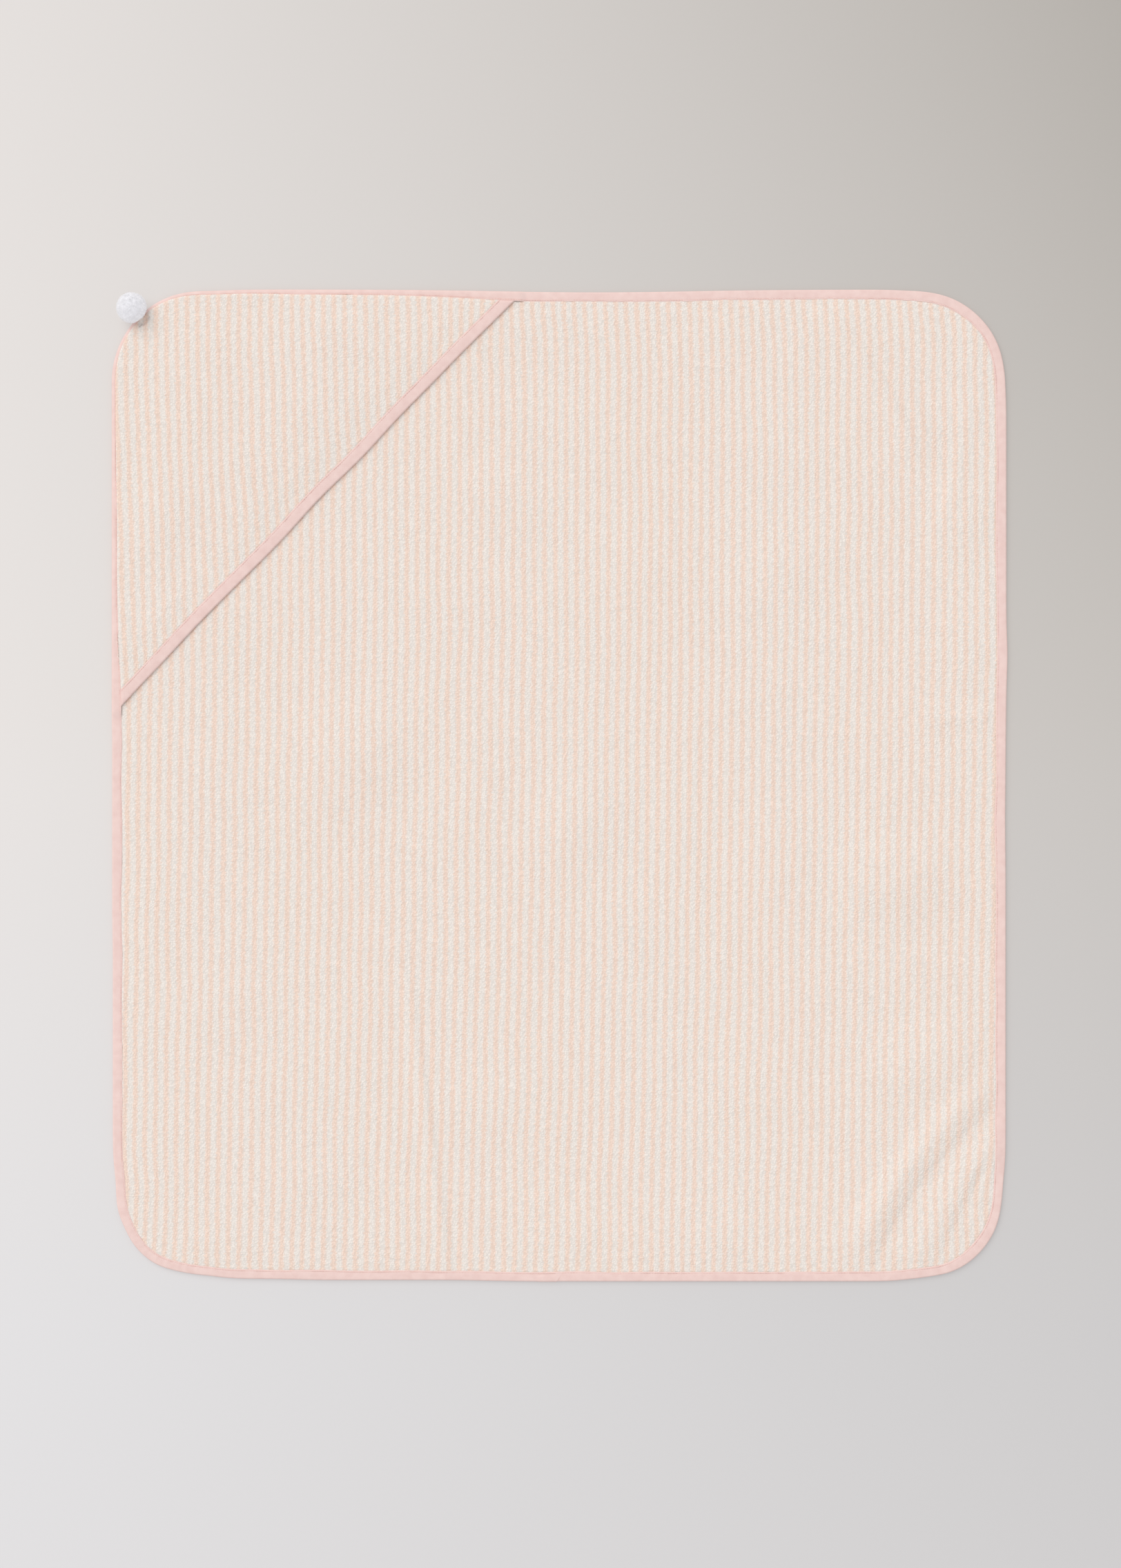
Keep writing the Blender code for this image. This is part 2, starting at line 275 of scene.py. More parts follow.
def grid_faces(index):
    """Quads between neighbours in a table of point numbers, facing up where its rows run
    along X and its columns along Y."""
    corners = [index[:-1, :-1], index[1:, :-1], index[1:, 1:], index[:-1, 1:]]
    return np.stack(corners, axis=-1).reshape(-1, 4)


def face_lists(quads):
    """Quads as lists, and as triangles where the first and last corners are one pole."""
    pole = quads[:, 0] == quads[:, 3]
    return quads[~pole].tolist() + quads[pole][:, :3].tolist()


def piece(name, points, faces, material, flat=None, crease=60):
    """A smooth mesh from points in millimetres, sharp only at edges that turn by more than the
    crease angle. flat gives each point's place on the cloth or tape before it was sewn, and
    becomes the UV map, in metres."""
    mesh = bpy.data.meshes.new(name)
    mesh.from_pydata((points * MM).tolist(), [], faces)
    mesh.polygons.foreach_set("use_smooth", np.ones(len(mesh.polygons), bool))
    if flat is not None:
        corner_points = np.zeros(len(mesh.loops), np.int32)
        mesh.loops.foreach_get("vertex_index", corner_points)
        layer = mesh.uv_layers.new(name="flat")
        layer.data.foreach_set("uv", (flat[corner_points] * MM).astype(np.float32).ravel())
    mesh.materials.append(material)
    mesh.update()
    mesh.set_sharp_from_angle(angle=math.radians(crease))
    obj = bpy.data.objects.new(name, mesh)
    bpy.context.scene.collection.objects.link(obj)
    return obj


def skin(rows):
    """Points and faces of a closed profile carried along a path, with both ends capped: rows[i, j]
    is corner j of the profile at station i. It turns left as the path comes towards the eye."""
    stations, corners = rows.shape[:2]
    index = np.arange(stations * corners).reshape(stations, corners)
    table = np.hstack([index, index[:, :1]])
    faces = face_lists(grid_faces(table)[:, ::-1])
    faces += [index[0].tolist()[::-1], index[-1].tolist()]
    return rows.reshape(-1, 3), faces


def edge_path(s):
    """The core point and the outward direction at arc length s along the outer edge, which
    runs anticlockwise from the join: both are piecewise linear, the first along the sides, and
    the angle of the second round the corners."""
    arc = CORNER * math.pi / 2
    wide, tall = 2 * CORE_X, 2 * CORE_Y
    spare = 40.0
    steps = [spare, CORE_X - JOIN_X, arc, tall, arc, wide, arc, tall, arc, JOIN_X + CORE_X, spare]
    at = np.cumsum([-spare] + steps)
    core_x = [JOIN_X - spare, JOIN_X, CORE_X, CORE_X, CORE_X, CORE_X, -CORE_X]
    core_x += [-CORE_X, -CORE_X, -CORE_X, JOIN_X, JOIN_X + spare]
    core_y = [-CORE_Y] * 4 + [CORE_Y] * 4 + [-CORE_Y] * 4
    turn = np.radians([-90, -90, -90, 0, 0, 90, 90, 180, 180, 270, 270, 270])
    core = np.stack([np.interp(s, at, core_x), np.interp(s, at, core_y)], axis=-1)
    angle = np.interp(s, at, turn)
    return core, np.stack([np.cos(angle), np.sin(angle)], axis=-1)


EDGE_LENGTH = 4 * (CORE_X + CORE_Y) + 2 * math.pi * CORNER


def front_point(s, f):
    """The point s along the hood's front edge and f in from it."""
    return FRONT_TOP + s[..., None] * ALONG + f[..., None] * TO_TIP


def front_span(half, inset, f):
    """Where a half of the front edge starts and ends, f in from it: at this inset from the
    outer edge, and where the halves meet."""
    from_top = (inset + TO_TIP[1] * f) / -ALONG[1]
    from_side = (inset - TO_TIP[0] * f) / -ALONG[0]
    middle = (HALVES_SUM - FRONT_TOP.sum() - f * TO_TIP.sum()) / ALONG.sum()
    if half == "top":
        return from_top, middle
    return middle, FRONT_RUN - from_side


# Colours and nodes


def linear(code):
    """A hex sRGB colour as linear light."""
    channels = [int(code[i : i + 2], 16) / 255 for i in (0, 2, 4)]
    bright = [c / 12.92 if c <= 0.04045 else ((c + 0.055) / 1.055) ** 2.4 for c in channels]
    return (*bright, 1.0)


def node(tree, kind, values=(), **settings):
    """Adds a node. settings are its own properties, and values its inputs by name or number:
    each a node whose first output is linked, a socket to link, or a plain value."""
    made = tree.nodes.new("ShaderNode" + kind)
    for key, value in settings.items():
        setattr(made, key, value)
    for key, value in dict(values).items():
        if isinstance(value, bpy.types.Node):
            value = value.outputs[0]
        if isinstance(value, bpy.types.NodeSocket):
            tree.links.new(value, made.inputs[key])
        else:
            made.inputs[key].default_value = value
    return made


def new_material(name, **shader_values):
    """A material, its node tree and its Principled shader with these constant inputs."""
    material = bpy.data.materials.new(name)
    material.use_nodes = True
    tree = material.node_tree
    shader = tree.nodes["Principled BSDF"]
    for key, value in shader_values.items():
        shader.inputs[key.replace("_", " ")].default_value = value
    return material, tree, shader


def terry_material():
    """Cotton terry, woven from dyed yarn with uncut loops. The loops give it soft, ragged
    stripes, a grain of dots that is painted shade between the loops, short streaks, and patches
    where the pile lies another way."""
    material, tree, shader = new_material(
        "woven_cotton_terry",
        Roughness=0.95,
        Specular_IOR_Level=0.15,
        Sheen_Weight=0.08,
        Sheen_Roughness=0.6,
    )
    flat = node(tree, "UVMap", uv_map="flat").outputs["UV"]
    place = node(tree, "SeparateXYZ", {0: flat})

    # Ragged edges: single loops, 1.9 mm of them, lean over the neighbouring stripe
    ragged = node(tree, "TexNoise", {"Vector": flat, "Scale": 1 / 0.0019, "Detail": 1.5})
    slow = node(tree, "TexNoise", {"Vector": flat, "Scale": 1 / 0.016, "Detail": 1.0})
    lean = node(tree, "Math", {0: ragged, 1: 0.0046}, operation="MULTIPLY")
    drift = node(tree, "Math", {0: slow, 1: 0.0014}, operation="MULTIPLY")
    side = node(tree, "Math", {0: place.outputs["X"], 1: lean}, operation="ADD")
    side = node(tree, "Math", {0: side, 1: drift}, operation="ADD")
    # Less the mean of the two, so that the stripes stay where they are
    centred = node(tree, "Math", {0: side, 1: 0.0030}, operation="SUBTRACT")
    turn = 2 * math.pi / (STRIPE * MM)
    phase = node(tree, "Math", {0: centred, 1: turn}, operation="MULTIPLY")
    stripe = node(tree, "Math", {0: phase}, operation="COSINE")
    edge = math.cos(math.pi * PINK_SHARE)
    soft = 0.85
    pink = node(
        tree,
        "MapRange",
        {"Value": stripe, "From Min": edge - soft, "From Max": edge + soft},
        interpolation_type="SMOOTHSTEP",
    )
    base = node(tree, "Mix", {0: pink, 6: linear("F3EAE2"), 7: linear("F7DDCD")}, data_type="RGBA")

    # Loops 1.7 mm apart: a real loop is half that, too fine to show
    loops = node(
        tree, "TexVoronoi", {"Vector": flat, "Scale": 1 / 0.0017, "Randomness": 0.85}, feature="F1"
    )
    patches = node(tree, "TexNoise", {"Vector": flat, "Scale": 1 / 0.022, "Detail": 3.0})
    ruffle = node(
        tree,
        "MapRange",
        {"Value": patches, "From Min": 0.42, "From Max": 0.66},
        interpolation_type="SMOOTHSTEP",
    )
    clumps = node(tree, "TexNoise", {"Vector": flat, "Scale": 1 / 0.0038, "Detail": 2.0})
    combed = node(
        tree, "Mapping", {"Vector": flat, "Rotation": (0, 0, math.radians(24))}, vector_type="POINT"
    )
    streaked = node(tree, "Mapping", {"Vector": combed, "Scale": (1 / 0.0012, 1 / 0.005, 1.0)})
    streaks = node(tree, "TexNoise", {"Vector": streaked, "Scale": 1.0})

    # Colour: painted shade between the loops, and streaked the way the pile is combed
    ranges = (
        (loops, 0.0, 0.75, 1.045, 0.88),
        (streaks, 0.3, 0.7, 0.95, 1.045),
        (clumps, 0.3, 0.7, 0.985, 1.01),
    )
    shades = []
    for source, low, high, at_low, at_high in ranges:
        values = {"Value": source, "From Min": low, "From Max": high}
        values.update({"To Min": at_low, "To Max": at_high})
        shades.append(node(tree, "MapRange", values))
    shade = node(tree, "Math", {0: shades[0], 1: shades[1]}, operation="MULTIPLY")
    shade = node(tree, "Math", {0: shade, 1: shades[2]}, operation="MULTIPLY")
    colour = node(tree, "VectorMath", {0: base.outputs[2], "Scale": shade}, operation="SCALE")
    tree.links.new(colour.outputs[0], shader.inputs["Base Color"])

    # Relief: loops, deeper in the ruffled patches, and clumps of them
    loop_height = node(
        tree, "MapRange", {"Value": loops, "From Max": 0.75, "To Min": 1.0, "To Max": 0.0}
    )
    depth = node(tree, "MapRange", {"Value": ruffle, "To Min": 0.75, "To Max": 1.0})
    loop_height = node(tree, "Math", {0: loop_height, 1: depth}, operation="MULTIPLY")
    clump_height = node(tree, "Math", {0: clumps, 1: 0.6}, operation="MULTIPLY")
    height = node(tree, "Math", {0: loop_height, 1: clump_height}, operation="ADD")
    relief = node(tree, "Bump", {"Height": height, "Strength": 0.8, "Distance": 0.0005})
    tree.links.new(relief.outputs[0], shader.inputs["Normal"])
    return material


def tape_material():
    """Cotton bias tape, plain woven and cut at 45 degrees. Its threads cross the tape slantwise
    and give it a fine diamond grain with a faint sheen."""
    material, tree, shader = new_material(
        "bias_cut_cotton_tape",
        Roughness=0.8,
        Specular_IOR_Level=0.25,
        Sheen_Weight=0.05,
        Sheen_Roughness=0.5,
    )
    flat = node(tree, "UVMap", uv_map="flat").outputs["UV"]
    # Threads 0.9 mm apart: the real ones are 0.3 mm apart, too fine to show
    spacing = 0.0009
    threads = []
    for turn in (45, -45):
        values = {"Vector": flat, "Rotation": (0, 0, math.radians(turn)), "Scale": (1 / spacing,) * 3}
        slanted = node(tree, "Mapping", values)
        values = {"Vector": slanted, "Scale": 0.314, "Distortion": 0.8}
        threads.append(node(tree, "TexWave", values, bands_direction="X").outputs["Fac"])
    weave = node(tree, "Math", {0: threads[0], 1: threads[1]}, operation="MULTIPLY")
    # Slubs: single threads are thicker for a few millimetres
    slubs = node(tree, "TexNoise", {"Vector": flat, "Scale": 1 / 0.007, "Detail": 2.0})
    tone = node(tree, "MapRange", {"Value": slubs, "From Min": 0.3, "From Max": 0.7})
    cloth = node(tree, "Mix", {0: tone, 6: linear("ECCDC6"), 7: linear("F2D6CF")}, data_type="RGBA")
    grain = node(tree, "MapRange", {"Value": weave, "To Min": 0.965, "To Max": 1.03})
    colour = node(tree, "VectorMath", {0: cloth.outputs[2], "Scale": grain}, operation="SCALE")
    tree.links.new(colour.outputs[0], shader.inputs["Base Color"])
    relief = node(tree, "Bump", {"Height": weave, "Strength": 0.35, "Distance": 0.00015})
    tree.links.new(relief.outputs[0], shader.inputs["Normal"])
    return material


def thread_material():
    """Spun polyester sewing thread, two plies twisted together: the twist shows as slanting
    bands, and the fibre has a soft gloss."""
    material, tree, shader = new_material(
        "twisted_polyester_thread",
        Roughness=0.55,
        Specular_IOR_Level=0.4,
        Sheen_Weight=0.1,
    )
    place = node(tree, "TexCoord").outputs["Object"]
    values = {"Vector": place, "Scale": 1 / 0.004, "Distortion": 1.5}
    twist = node(tree, "TexWave", values, bands_direction="DIAGONAL").outputs["Fac"]
    # Pinks a little darker than the tape's: partly the thread's own colour, partly painted shade of
    # the stitch holes
    colour = node(
        tree, "Mix", {0: twist, 6: linear("ECC8BF"), 7: linear("F2D2CA")}, data_type="RGBA"
    )
    tree.links.new(colour.outputs[2], shader.inputs["Base Color"])
    relief = node(tree, "Bump", {"Height": twist, "Strength": 0.4, "Distance": 0.0001})
    tree.links.new(relief.outputs[0], shader.inputs["Normal"])
    return material


def yarn_material():
    """Bulky white acrylic yarn, cut and brushed out: a cool white with a soft halo, a little
    greyer where the ends bunch together. It has a painted glow: it gives off light of its own
    colour, standing in for light that soaks through the ball, so it has hardly a dark side."""
    material, tree, shader = new_material(
        "brushed_acrylic_yarn",
        Roughness=0.95,
        Diffuse_Roughness=1.0,
        Specular_IOR_Level=0.1,
        Sheen_Weight=0.4,
        Sheen_Roughness=0.5,
        Subsurface_Weight=0.5,
        Subsurface_Radius=(1.0, 1.0, 1.0),
        Subsurface_Scale=0.004,
        # Painted glow, which lifts the ball's shaded side
        Emission_Strength=0.46,
    )
    place = node(tree, "TexCoord").outputs["Object"]
    bunches = node(tree, "TexNoise", {"Vector": place, "Scale": 1 / 0.003, "Detail": 3.0})
    tone = node(tree, "MapRange", {"Value": bunches, "From Min": 0.35, "From Max": 0.65})
    colour = node(
        tree, "Mix", {0: tone, 6: linear("C8C7CA"), 7: linear("D2D1D4")}, data_type="RGBA"
    )
    tree.links.new(colour.outputs[2], shader.inputs["Base Color"])
    # The painted glow has the yarn's colour
    tree.links.new(colour.outputs[2], shader.inputs["Emission Color"])
    fuzz = node(tree, "TexNoise", {"Vector": place, "Scale": 1 / 0.0006, "Detail": 2.0})
    relief = node(tree, "Bump", {"Height": fuzz, "Strength": 0.3, "Distance": 0.0002})
    tree.links.new(relief.outputs[0], shader.inputs["Normal"])
    return material


def paper_material():
    """Seamless background paper, matt and pale, with painted light: paler on the left and greyer
    at the far right corner, as the light falls off, and a painted glow, as from lamps under the
    table, that softens every shadow on it."""
    material, tree, shader = new_material(
        "seamless_background_paper", Roughness=0.9, Specular_IOR_Level=0.1
    )
    place = node(tree, "TexCoord").outputs["Object"]
    axes = node(tree, "SeparateXYZ", {0: place})
    # From -1 to 1 over the paper round the towel, and on to 1.2
    ends = {"To Min": -1.2, "To Max": 1.2}
    wide = {"Value": axes.outputs["X"], "From Min": -0.56, "From Max": 0.56}
    tall = {"Value": axes.outputs["Y"], "From Min": -0.78, "From Max": 0.78}
    right = node(tree, "MapRange", wide | ends)
    up = node(tree, "MapRange", tall | ends)
    far = node(tree, "Math", {0: up, 1: 0.0}, operation="MAXIMUM")
    cross = node(tree, "Math", {0: right, 1: up}, operation="MULTIPLY")
    square = node(tree, "Math", {0: right, 1: right}, operation="MULTIPLY")
    corner = node(tree, "Math", {0: square, 1: far}, operation="MULTIPLY")
    # Painted light: a slow fall of brightness to the right and to the far side, darkest at the far
    # right corner, and the paper's own grain
    level = 0.66
    for source, share in ((right, -0.31), (cross, -0.13), (far, -0.16), (corner, -0.04)):
        level = node(tree, "Math", {0: source, 1: share, 2: level}, operation="MULTIPLY_ADD")
    grain = node(tree, "TexNoise", {"Vector": place, "Scale": 1 / 0.004, "Detail": 3.0})
    level = node(tree, "Math", {0: grain, 1: 0.02, 2: level}, operation="MULTIPLY_ADD")
    # The painted falloff runs from a grey to a pale paper colour, each a little more neutral towards
    # the near side
    near = node(tree, "MapRange", {"Value": up, "From Min": 0.1, "From Max": -0.7})
    dark = node(tree, "Mix", {0: near, 6: linear("B4AFA9"), 7: linear("B4B1AF")}, data_type="RGBA")
    pale = node(tree, "Mix", {0: near, 6: linear("E8E3E0"), 7: linear("E8E6E7")}, data_type="RGBA")
    colour = node(tree, "Mix", {0: level, 6: dark.outputs[2], 7: pale.outputs[2]}, data_type="RGBA")
    # Painted glow: this share of the paper's brightness is given off as light, which lifts the
    # shadows on it
    lit = node(tree, "VectorMath", {0: colour.outputs[2], "Scale": 1 - PAINTED_GLOW}, operation="SCALE")
    tree.links.new(lit.outputs[0], shader.inputs["Base Color"])
    tree.links.new(colour.outputs[2], shader.inputs["Emission Color"])
    shader.inputs["Emission Strength"].default_value = PAINTED_GLOW
    return material


# The pieces


def stripe_place_body(x, y):
    """Where a point of the body cloth is on the uncut cloth: the stripes bow and lean by a few
    millimetres, further to the left towards the bottom."""
    bow = 2.4 + 1.6 * bell(x, 10, 75) - 3.9 * bell(x, -345, 60) + 0.8 * bell(x, 345, 45)
    lean = 0.0125 * np.clip(y + 90, -330, 225) - 2.6 * bell(y, 415, 38)
    middle = -1.9 * smooth((-150 - y) / 230) * bell(x, -60, 190)
    ripple = 0.35 * waves(x, y, 60.0, 150.0, seed=23)
    return np.stack([x - bow - lean - middle - ripple, y], axis=-1)


def stripe_place_hood(x, y):
    """The same for the hood cloth, whose stripes lean the other way."""
    lean = -2.2 + 0.035 * np.maximum(0.0, 355 - y)
    ripple = 0.35 * waves(x, y, 60.0, 150.0, seed=29)
    return np.stack([x - lean - ripple, y], axis=-1)


def open_share(x, y):
    """1 where the body cloth is in the open, and 0 where it lies under the hood."""
    return smooth((-front_inset_of(x, y) - 1.0) / 8.0)


def pile_share(x, y):
    """1 where the body cloth's pile stands up, as far as the fold of the hood's tape."""
    return smooth((2.6 - front_inset_of(x, y)) / 3.0)


def body_tape_width_of(x, y):
    """How far in the tape presses the body cloth: as wide as it shows, or its full width where
    the hood hides it."""
    share = open_share(x, y)
    return tape_width_of(x, y) * share + FULL_WIDTH * (1 - share)


def clumps_of(x, y, seed):
    """Unevenness of the pile: clumps about 8 mm long, low ripples along the weft, more of them
    towards the bottom, and long low ribs along the warp."""
    fine = waves(x, y, 6.5, 10.0, seed=seed, count=90)
    weft = waves(0.2 * x, y, 9.0, 20.0, seed=seed + 1) * (0.6 + 0.6 * smooth((60 - y) / 200))
    warp = waves(x, 0.05 * y, 12.0, 40.0, seed=seed + 2)
    return 0.66 * fine + 0.14 * weft + 0.12 * warp


def body_top(x, y):
    """Height of the body cloth's upper face: pressed under the tape, flat under the hood, and
    elsewhere swelling to full pile, in clumps."""
    share = pile_share(x, y)
    past_tape = inset_of(x, y) - body_tape_width_of(x, y)
    free = smooth((past_tape + 1.2) / 2.0)
    pile = 0.5 + (PILE - 0.5) * smooth(past_tape / 14.0)
    full = TERRY + pile * share + clumps_of(x, y, 5) * (0.05 + 0.08 * share)
    return PRESSED_TOP + (full - PRESSED_TOP) * free


def body_under(x, y):
    """Height of its lower face: on the table, and held up at the rim by the tape."""
    return PRESSED_LOW * (1.0 - smooth((inset_of(x, y) - 9.3) / 2.7))


def towel_cloth(material):
    """The body cloth. Its top is a grid, x = u times the half width at y, with rows closer
    together where the corners turn, inside rings that step out to the raw edge. Its underside
    is rings that close on the middle."""
    border = 14.0
    radius = CORNER - border
    columns = int(2 * (HALF_X - border) / CELL)
    arc_steps = int(radius * math.pi / 2 / CELL)
    arc = np.radians(np.linspace(90, 0, arc_steps + 1))
    straight = np.linspace(-CORE_Y, CORE_Y, int(2 * CORE_Y / CELL) + 1)[1:-1]
    low = -CORE_Y - radius * np.sin(arc)
    rows = np.concatenate([low, straight, -low[::-1]])
    turned = np.concatenate([np.cos(arc), np.ones(len(straight)), np.cos(arc)[::-1]])
    half = CORE_X + radius * turned
    u = np.linspace(-1, 1, columns + 1)
    x = u[:, None] * half[None, :]
    y = np.broadcast_to(rows[None, :], x.shape)
    index = np.arange(x.size).reshape(x.shape)
    rim = np.concatenate([index[:, 0], index[-1, 1:], index[-2::-1, -1], index[0, -2:0:-1]])
    plan = np.stack([x.ravel(), y.ravel()], axis=-1)
    core = np.clip(plan[rim], [-CORE_X, -CORE_Y], [CORE_X, CORE_Y])
    outward = (plan[rim] - core) / radius

    tape = body_tape_width_of(*(core + outward * CORNER).T)[:, None]
    steps = (tape + 4.2, tape + 2.6, tape + 1.4, tape + 0.5, tape - 0.4, 5.0, RIM)
    tops = [core + outward * (CORNER - inset) for inset in steps]
    unders = [core + outward * (CORNER - inset) for inset in (RIM, 5.0, 9.3, 12.0)]
    unders += [unders[-1] * share for share in (0.86, 0.72, 0.58, 0.44, 0.30, 0.15)]
    top_plan = np.concatenate([plan, *tops])
    under_plan = np.concatenate([*unders, np.zeros((1, 2))])
    top = np.column_stack([top_plan, body_top(*top_plan.T)])
    under = np.column_stack([under_plan, body_under(*under_plan.T)])
    laid_under = lay(under)
    laid_under[:, 2] = 0.5 * (laid_under[:, 2] + under[:, 2])
    points = np.concatenate([lay(top), laid_under])

    count = len(rim)
    rings = np.arange(len(top_plan) - len(plan) + len(under_plan) - 1) + len(plan)
    table = np.vstack([rim, rings.reshape(-1, count)])
    table = np.hstack([table, table[:, :1]])
    faces = face_lists(grid_faces(index)) + face_lists(grid_faces(table))
    centre = len(points) - 1
    last = table[-1]
    faces += np.column_stack([last[1:], last[:-1], np.full(count, centre)]).tolist()
    flat = stripe_place_body(*np.concatenate([top_plan, under_plan]).T)
    obj = piece("towel_cloth", points, faces, material, flat)
    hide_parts("body_panel")
    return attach(obj, "towel")


def hood_top(x, y):
    """Height of the hood cloth's upper face, pressed along the front edge by its tape."""
    past_tape = front_inset_of(x, y) - HOOD_TAPE_WIDTH
    free = smooth((past_tape + 1.1) / 2.0)
    pile = 0.1 + (PILE - 0.1) * smooth(past_tape / 20.0)
    full = HOOD_LOW + TERRY + pile + 0.08 * clumps_of(x, y, 7)
    return HOOD_PRESSED_TOP + (full - HOOD_PRESSED_TOP) * free


def hood_under(x, y):
    """Height of its lower face."""
    free = smooth((front_inset_of(x, y) - HOOD_TAPE_WIDTH) / 4.0)
    full = HOOD_LOW + 0.15 + 0.06 * clumps_of(x, y, 9)
    return HOOD_PRESSED_LOW + (full - HOOD_PRESSED_LOW) * free


def hood_face(plan, height):
    """One face of the hood cloth as it lies, and the direction it faces: the cross product of
    its slopes along X and Y."""
    step = 0.6

    def face(moved):
        return lay_hood(np.column_stack([moved, height(*moved.T)]))

    slope_x = face(plan + [step, 0.0]) - face(plan - [step, 0.0])
    slope_y = face(plan + [0.0, step]) - face(plan - [0.0, step])
    up = np.cross(slope_x, slope_y)
    return face(plan), up / np.linalg.norm(up, axis=1, keepdims=True)


def hood_plan(half):
    """A half of the hood cloth seen from above, as rows of points from the leg to the line where
    the halves meet. The leg runs round the corner from the tip and on along the towel's edge.
    Rows cross it squarely at the tip, and lean until they are parallel to the front edge. The
    first few columns keep a set distance from the tape, and the rest share out what is left,
    so in the first row they all meet in one pole."""
    side = half == "side"
    onward = np.array([0.0, -1.0]) if side else np.array([1.0, 0.0])
    inward = np.array([1.0, 0.0]) if side else np.array([0.0, -1.0])
    slope = -onward @ TO_TIP
    shift = -(inward @ TO_TIP) / slope
    radius = CORNER - HOOD_RIM
    corner = np.array([-CORE_X, CORE_Y])
    junction = corner - inward * radius
    front_there = front_inset_of(*junction)
    arc = radius * math.pi / 4

    near = [1.4, 5.0, 9.0, 9.9, 10.6, 11.4, 12.6, 15.0]
    levels = np.concatenate([near, np.arange(17.5, 190.0, 2.2)])[::-1]
    run_levels = arc + (front_there - levels) / slope
    round_corner = 24
    run = np.concatenate([np.linspace(0, run_levels[0], round_corner, endpoint=False), run_levels])
    turn = math.radians(45) * np.minimum(run / arc, 1.0)
    angle = math.radians(135) + (turn if side else -turn)
    outward = np.stack([np.cos(angle), np.sin(angle)], axis=-1)
    past = np.maximum(run - arc, 0.0)[:, None]
    edge = corner + CORNER * outward + past * onward
    rim = edge - outward * HOOD_RIM
    across = -outward + shift * -onward * smooth(past / 60.0)
    tape = tape_width_of(*edge.T)
    insets = np.stack([0 * tape + HOOD_RIM, tape - 0.4, tape + 0.5, tape + 1.4, tape + 2.6,
                       tape + 4.2], axis=-1)
    band = rim[:, None] + across[:, None] * (insets - HOOD_RIM)[..., None]

    tip = band[0, -1]
    middle = front_point(front_span("top", 0.0, near[0])[1], np.array(near[0]))
    tip_level = front_inset_of(*tip)
    run_share = (np.arange(round_corner) / round_corner) ** 1.6
    corner_levels = tip_level - (tip_level - levels[0]) * run_share
    share = (tip_level - np.concatenate([corner_levels, levels])) / (tip_level - near[0])
    seam = tip + share[:, None] * (middle - tip)
    v = np.linspace(0, 1, 80)[1:, None]
    rest = band[:, -1:] * (1 - v) + seam[:, None] * v
    return np.concatenate([band, rest], axis=1), band.shape[1]


def hood_cloth(half, material):
    """One half of the hood cloth, with an upper and a lower face joined by walls."""
    plan, bands = hood_plan(half)
    rows, columns = plan.shape[:2]
    index = np.arange((rows - 1) * columns).reshape(rows - 1, columns) + bands
    pole = bands - 1
    first = np.concatenate([np.arange(bands), np.full(columns - bands, pole)])
    index = np.vstack([first, index])
    flat_plan = np.vstack([plan[0, :bands], plan[1:].reshape(-1, 2)])
    count = len(flat_plan)
    top, up = hood_face(flat_plan, hood_top)
    under, over = hood_face(flat_plan, hood_under)
    outline = [index[0, bands - 1 :: -1], index[1:, 0], index[-1, 1:], index[-2::-1, -1]]
    outline = np.concatenate(outline)
    upper, lower = grid_faces(index), (grid_faces(index) + count)[:, ::-1]
    walls = grid_faces(np.vstack([outline, outline + count]))
    quads = np.vstack([upper, lower, walls])
    if half == "top":
        quads = quads[:, ::-1]
    # A quad with two corners at the pole becomes a triangle, and one with more goes
    faces = [list(dict.fromkeys(quad)) for quad in quads.tolist()]
    faces = [face for face in faces if len(face) > 2]
    flat = stripe_place_hood(*np.concatenate([flat_plan, flat_plan]).T)
    obj = piece(f"hood_cloth_{half}", np.concatenate([top, under]), faces, material, flat)
    obj.data.normals_split_custom_set_from_vertices(np.concatenate([up, -over]).tolist())
    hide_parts("hood_panel", "hood_seam_allowance")
    return bend_with_hood(obj, half)


def bend_with_hood(obj, half):
    """Bakes a half of the hood's placing into its mesh. Where it would bend, between the towel along
    its leg and the lifted hood, is worked out but not used.
    """
    if half == "side":
        start = (-HALF_X + FREE_INSET, 0.0, 0.0)
        end = (-HALF_X + FREE_INSET + BEND, 0.0, 0.0)
    else:
        start = (0.0, HALF_Y - FREE_INSET, 0.0)
        end = (0.0, HALF_Y - FREE_INSET - BEND, 0.0)
    start, end = [tuple(c * MM for c in point) for point in (start, end)]
    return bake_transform(obj)


def room_of(width, radius):
    """How much of its full size the tape's inner edge keeps, where the tape shows narrow."""
    return np.clip((width - radius - 0.1) / 3.2, 0.03, 1.0)


